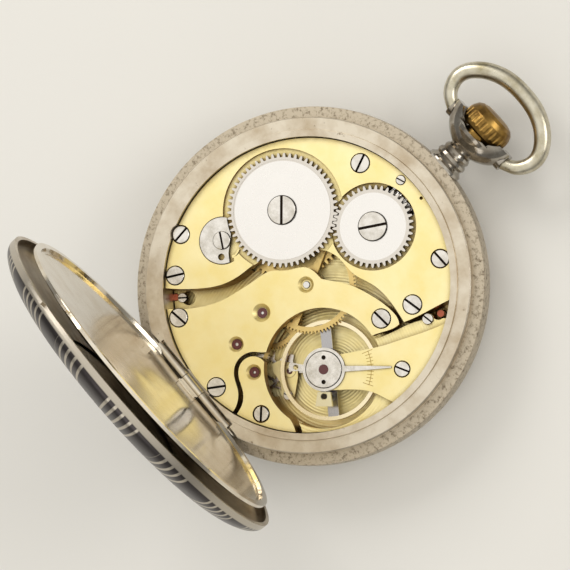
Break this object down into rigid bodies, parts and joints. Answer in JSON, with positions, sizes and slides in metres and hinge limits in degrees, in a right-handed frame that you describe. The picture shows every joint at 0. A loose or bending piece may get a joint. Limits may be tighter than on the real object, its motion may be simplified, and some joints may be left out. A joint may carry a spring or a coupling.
{
  "type": "open face pocket watch",
  "caption": "Open-face stem-wound pocket watch with hinged back cover and cuvette, visible gilt bridge movement, bow and fluted crown.",
  "frame": {"origin": "centre of the crystal's flat outer face, on the watch's axis", "axes": "+Z out of the back of the watch, +Y to the pendant and crown at twelve o'clock, +X to the right as seen from the back; the flat of the crystal is Z = 0 and the watch lies on it"},
  "size_m": [0.052, 0.0695, 0.0588],
  "materials": {
    "silver": "worn case silver, satin with polished edges",
    "cup_silver": "polished dark silver",
    "gilt": "frosted yellow gilding on brass",
    "wheel_brass": "plain yellow brass",
    "steel": "polished steel",
    "blued": "blued steel",
    "crown_brass": "brass with its plating worn off",
    "ruby": "polished synthetic ruby",
    "glass": "clear mineral glass",
    "enamel": "white vitreous enamel"
  },
  "bodies": {
    "watch": {"case_band": "silver", "hinge_pins": "silver", "bezel": "silver", "crystal": "glass", "pendant": "cup_silver", "main_plate": "gilt", "barrel_bridge": "gilt", "train_bridge": "gilt", "escape_cock": "gilt", "balance_cock": "gilt", "pallet_cock": "gilt", "crown_wheel_screw": "steel", "click_spring": "gilt", "click_pivot": "steel", "bridge_jewels": "ruby", "balance_jewels": "ruby", "bridge_screws": "steel", "cock_screws": "steel", "case_screws": "steel", "balance_endpiece": "steel", "stud_holder": "gilt", "dial": "enamel"},
    "bow": {"bow": "silver"},
    "back_cover": {"back_cover": "silver"},
    "cuvette": {"cuvette": "silver"},
    "crown_and_stem": {"crown": "crown_brass", "winding_stem": "steel"},
    "winding_pinion": {"winding_pinion": "steel"},
    "clutch": {"clutch_wheel": "steel"},
    "setting_lever": {"setting_lever": "steel"},
    "clutch_lever": {"clutch_lever": "steel"},
    "crown_wheel": {"crown_wheel": "steel"},
    "ratchet": {"ratchet_wheel": "steel", "ratchet_screw": "steel", "barrel_arbor": "steel"},
    "click": {"click": "steel"},
    "barrel": {"mainspring_barrel": "wheel_brass", "barrel_cover": "wheel_brass", "mainspring": "steel"},
    "centre": {"centre_wheel": "wheel_brass", "centre_pinion": "steel", "cannon_pinion": "steel", "minute_hand": "blued"},
    "third": {"third_wheel": "wheel_brass", "third_pinion": "steel"},
    "fourth": {"fourth_wheel": "wheel_brass", "fourth_pinion": "steel", "second_hand": "blued"},
    "escape": {"escape_wheel": "steel", "escape_pinion": "steel"},
    "lever": {"pallet_fork": "steel", "pallet_stones": "ruby"},
    "balance": {"balance_wheel": "wheel_brass", "balance_staff": "steel", "hairspring": "blued"},
    "regulator": {"regulator": "steel"},
    "minute_work": {"minute_wheel": "wheel_brass"},
    "hour": {"hour_wheel": "wheel_brass", "hour_hand": "blued"},
    "setting_wheel": {"setting_wheel": "steel"}
  },
  "joints": [
    {"name": "back_hinge", "type": "hinge", "parent": "watch", "child": "back_cover", "pos_m": [0, -0.0241, 0.0091], "axis": [1, 0, 0], "range_deg": [-85, 20]},
    {"name": "cuvette_hinge", "type": "hinge", "parent": "watch", "child": "cuvette", "pos_m": [0, -0.0222, 0.01], "axis": [1, 0, 0], "range_deg": [-85, 20]},
    {"name": "bow_swing", "type": "hinge", "parent": "watch", "child": "bow", "pos_m": [0, 0.03245, 0.0066], "axis": [1, 0, 0], "range_deg": [-90, 90]},
    {"name": "crown_turn", "type": "hinge", "parent": "watch", "child": "winding_pinion", "pos_m": [0, 0.018, 0.0066], "axis": [0, 1, 0], "continuous": true},
    {"name": "crown_pull", "type": "slide", "parent": "winding_pinion", "child": "crown_and_stem", "axis": [0, 1, 0], "range_m": [0, 0.001]},
    {"name": "clutch_slide", "type": "slide", "parent": "winding_pinion", "child": "clutch", "axis": [0, 1, 0], "range_m": [-0.0008, 0]},
    {"name": "setting_lever_turn", "type": "hinge", "parent": "watch", "child": "setting_lever", "pos_m": [-0.0046, 0.02, 0.004], "axis": [0, 0, 1], "range_deg": [0, 12.5]},
    {"name": "clutch_lever_turn", "type": "hinge", "parent": "watch", "child": "clutch_lever", "pos_m": [-0.005, 0.0126, 0.004], "axis": [0, 0, 1], "range_deg": [-9.8, 0]},
    {"name": "crown_wheel_turn", "type": "hinge", "parent": "watch", "child": "crown_wheel", "pos_m": [0.0003, 0.01285, 0.0095], "axis": [0, 0, 1], "continuous": true},
    {"name": "ratchet_turn", "type": "hinge", "parent": "watch", "child": "ratchet", "pos_m": [-0.01048, 0.0044, 0.0095], "axis": [0, 0, 1], "continuous": true},
    {"name": "click_turn", "type": "hinge", "parent": "watch", "child": "click", "pos_m": [-0.01321, -0.00522, 0.0095], "axis": [0, 0, 1], "range_deg": [0, 7], "stiffness_Nm_per_rad": 0.00002},
    {"name": "regulator_turn", "type": "hinge", "parent": "watch", "child": "regulator", "pos_m": [0.01104, -0.00588, 0.0097], "axis": [0, 0, 1], "range_deg": [-15, 15]},
    {"name": "fourth_turn", "type": "hinge", "parent": "watch", "child": "fourth", "pos_m": [-0.00038, -0.01342, 0.0067], "axis": [0, 0, 1], "continuous": true},
    {"name": "third_turn", "type": "hinge", "parent": "watch", "child": "third", "pos_m": [-0.00131, -0.00759, 0.0059], "axis": [0, 0, 1], "continuous": true},
    {"name": "centre_turn", "type": "hinge", "parent": "watch", "child": "centre", "pos_m": [0, 0, 0.0075], "axis": [0, 0, 1], "continuous": true},
    {"name": "barrel_turn", "type": "hinge", "parent": "watch", "child": "barrel", "pos_m": [-0.01048, 0.0044, 0.0065], "axis": [0, 0, 1], "continuous": true},
    {"name": "escape_turn", "type": "hinge", "parent": "watch", "child": "escape", "pos_m": [0.00443, -0.01406, 0.0052], "axis": [0, 0, 1], "continuous": true},
    {"name": "minute_work_turn", "type": "hinge", "parent": "watch", "child": "minute_work", "pos_m": [0.0022, 0.00381, 0.0042], "axis": [0, 0, 1], "continuous": true},
    {"name": "hour_turn", "type": "hinge", "parent": "watch", "child": "hour", "pos_m": [0, 0, 0.0036], "axis": [0, 0, 1], "continuous": true},
    {"name": "setting_wheel_turn", "type": "hinge", "parent": "watch", "child": "setting_wheel", "pos_m": [0.00164, 0.00928, 0.0042], "axis": [0, 0, 1], "continuous": true},
    {"name": "lever_swing", "type": "hinge", "parent": "watch", "child": "lever", "pos_m": [0.00713, -0.01055, 0.0055], "axis": [0, 0, 1], "range_deg": [-6, 6]},
    {"name": "balance_swing", "type": "hinge", "parent": "watch", "child": "balance", "pos_m": [0.01104, -0.00588, 0.0065], "axis": [0, 0, 1], "range_deg": [-150, 150], "stiffness_Nm_per_rad": 0.0000016}
  ],
  "couplings": [
    {"joint": "cuvette_hinge", "follows": "back_hinge", "ratio": 1},
    {"joint": "clutch_slide", "follows": "crown_pull", "ratio": -0.8},
    {"joint": "setting_lever_turn", "follows": "crown_pull", "rad_per_m": 217.4},
    {"joint": "clutch_lever_turn", "follows": "crown_pull", "rad_per_m": -170.2},
    {"joint": "crown_wheel_turn", "follows": "crown_turn", "ratio": -0.53659},
    {"joint": "ratchet_turn", "follows": "crown_turn", "ratio": 0.37931},
    {"joint": "third_turn", "follows": "fourth_turn", "ratio": -0.13333},
    {"joint": "centre_turn", "follows": "fourth_turn", "ratio": 0.016667},
    {"joint": "barrel_turn", "follows": "fourth_turn", "ratio": -0.0033333},
    {"joint": "escape_turn", "follows": "fourth_turn", "ratio": -10},
    {"joint": "minute_work_turn", "follows": "fourth_turn", "ratio": -0.0055556},
    {"joint": "hour_turn", "follows": "fourth_turn", "ratio": 0.0013889},
    {"joint": "setting_wheel_turn", "follows": "fourth_turn", "ratio": 0.0083333}
  ]
}
